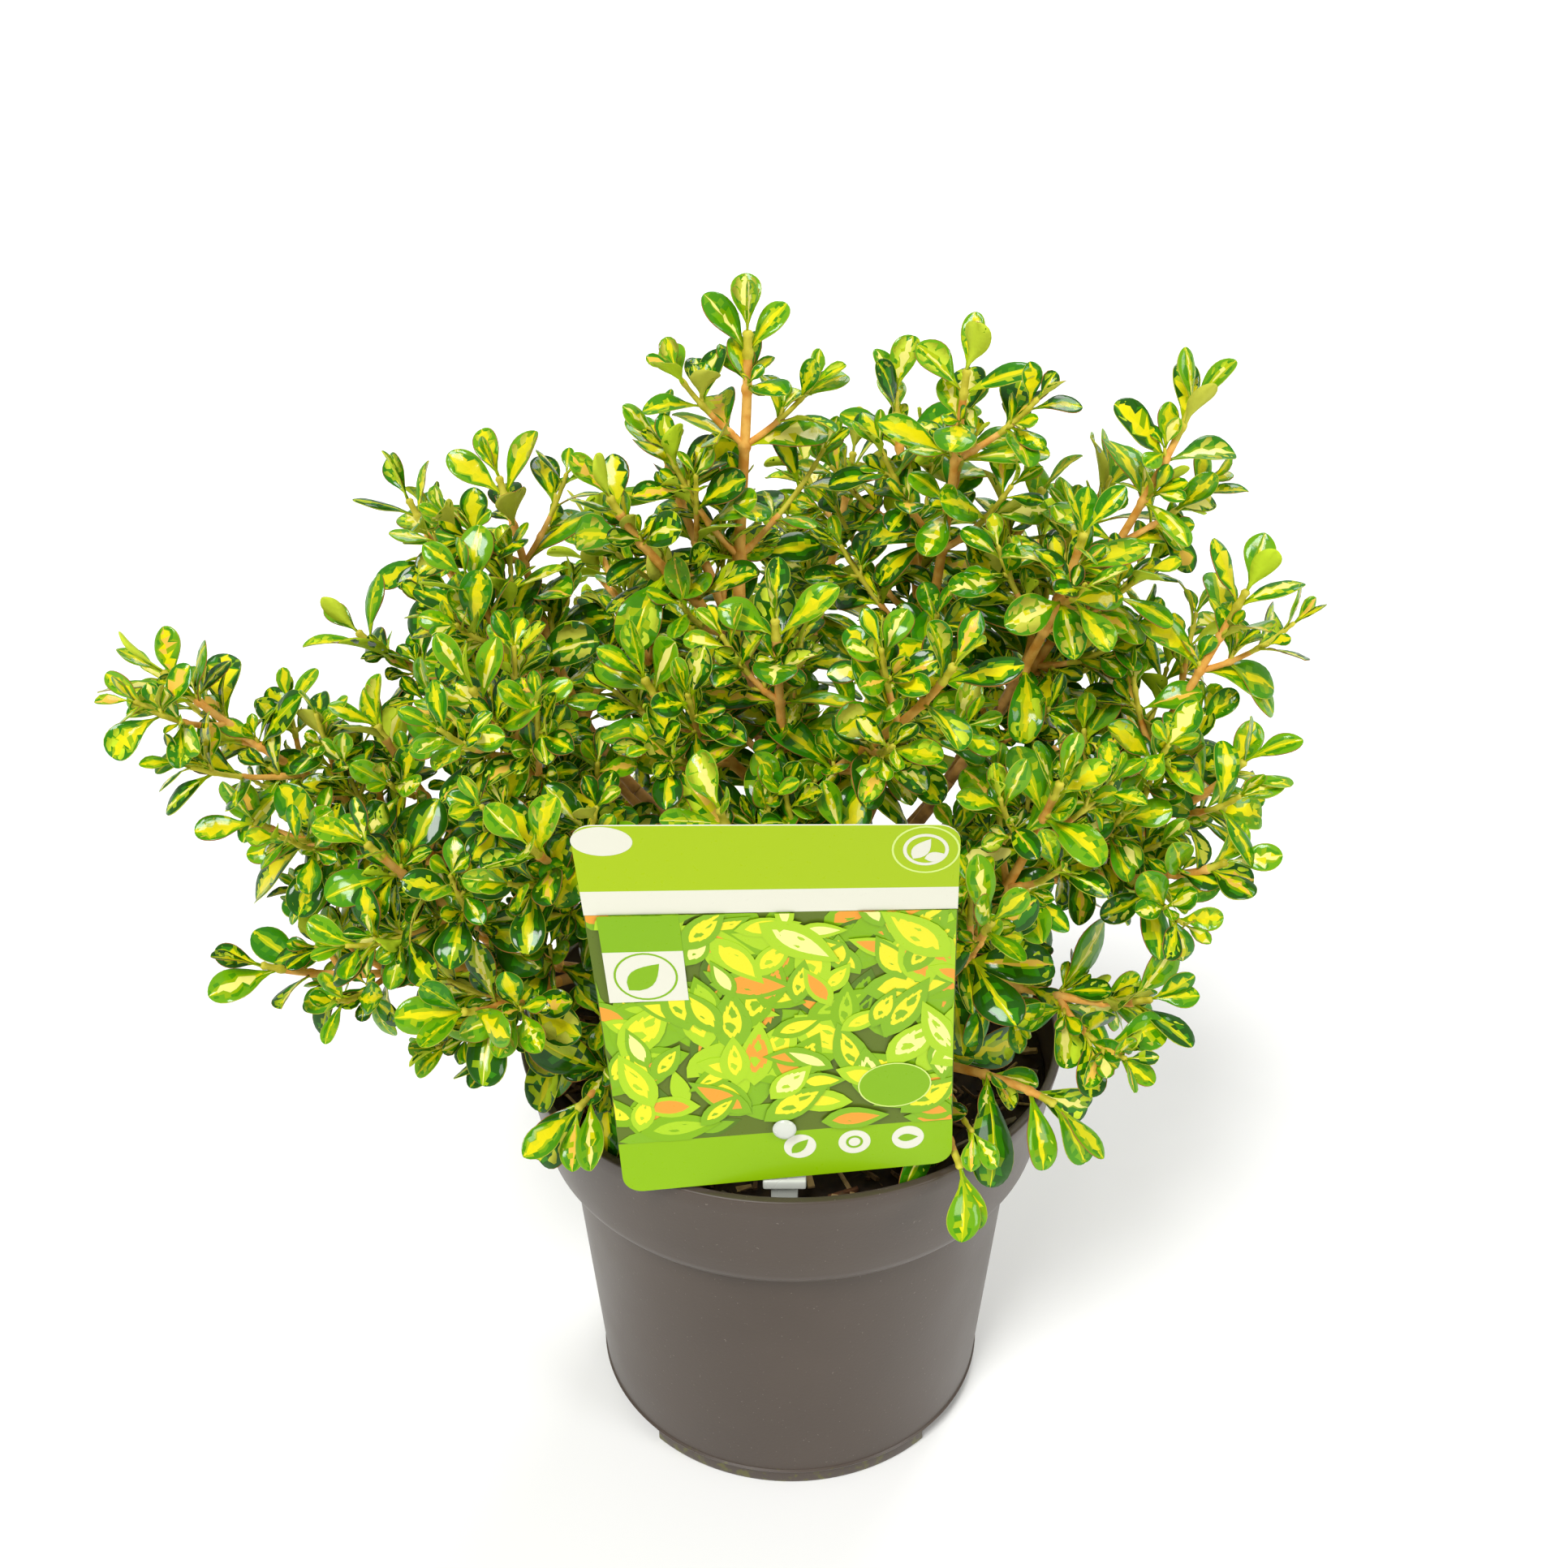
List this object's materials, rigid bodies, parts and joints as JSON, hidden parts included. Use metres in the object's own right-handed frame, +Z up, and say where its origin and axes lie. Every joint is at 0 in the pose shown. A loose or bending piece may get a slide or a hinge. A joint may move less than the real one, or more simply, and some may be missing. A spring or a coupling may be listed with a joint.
{
  "type": "potted lemon and lime coprosma",
  "caption": "Small evergreen shrub with glossy yellow-centred green leaves on upright shoots, in a tapered round nursery pot with a care card on a stake.",
  "frame": {"origin": "centre of the flat underside of the pot, on the ground", "axes": "+Z up along the pot's axis; -Y is the front, where the care card faces; +X to the right seen from the front"},
  "size_m": [0.3791, 0.2747, 0.4109],
  "materials": {
    "pot": "matte, taupe grey",
    "soil": "loose bark and peat",
    "card": "printed plastic card, lime green bands",
    "stake": "milky, translucent",
    "main_stem": "bark",
    "bough": "orange-tan bark",
    "foliage": "glossy, variegated"
  },
  "bodies": {
    "root": {"pot": "pot", "soil": "soil", "card": "card", "stake": "stake", "main_stem": "main_stem", "bough_back": "bough", "bough_back_left": "bough", "bough_back_mid": "bough", "bough_back_right": "bough", "bough_centre": "bough", "bough_crest": "bough", "bough_front": "bough", "bough_front_left": "bough", "bough_front_right": "bough", "bough_leader": "bough", "bough_left": "bough", "bough_left_front": "bough", "bough_low_back": "bough", "bough_low_left": "bough", "bough_low_right": "bough", "bough_right": "bough", "bough_rim_left": "bough", "bough_rim_right": "bough", "bough_shoulder": "bough", "bough_spire": "bough", "foliage_back": "foliage", "foliage_back_left": "foliage", "foliage_back_mid": "foliage", "foliage_back_right": "foliage", "foliage_centre": "foliage", "foliage_crest": "foliage", "foliage_front": "foliage", "foliage_front_left": "foliage", "foliage_front_right": "foliage", "foliage_leader": "foliage", "foliage_left": "foliage", "foliage_left_front": "foliage", "foliage_low_back": "foliage", "foliage_low_left": "foliage", "foliage_low_right": "foliage", "foliage_right": "foliage", "foliage_rim_left": "foliage", "foliage_rim_right": "foliage", "foliage_shoulder": "foliage", "foliage_spire": "foliage"}
  },
  "joints": []
}
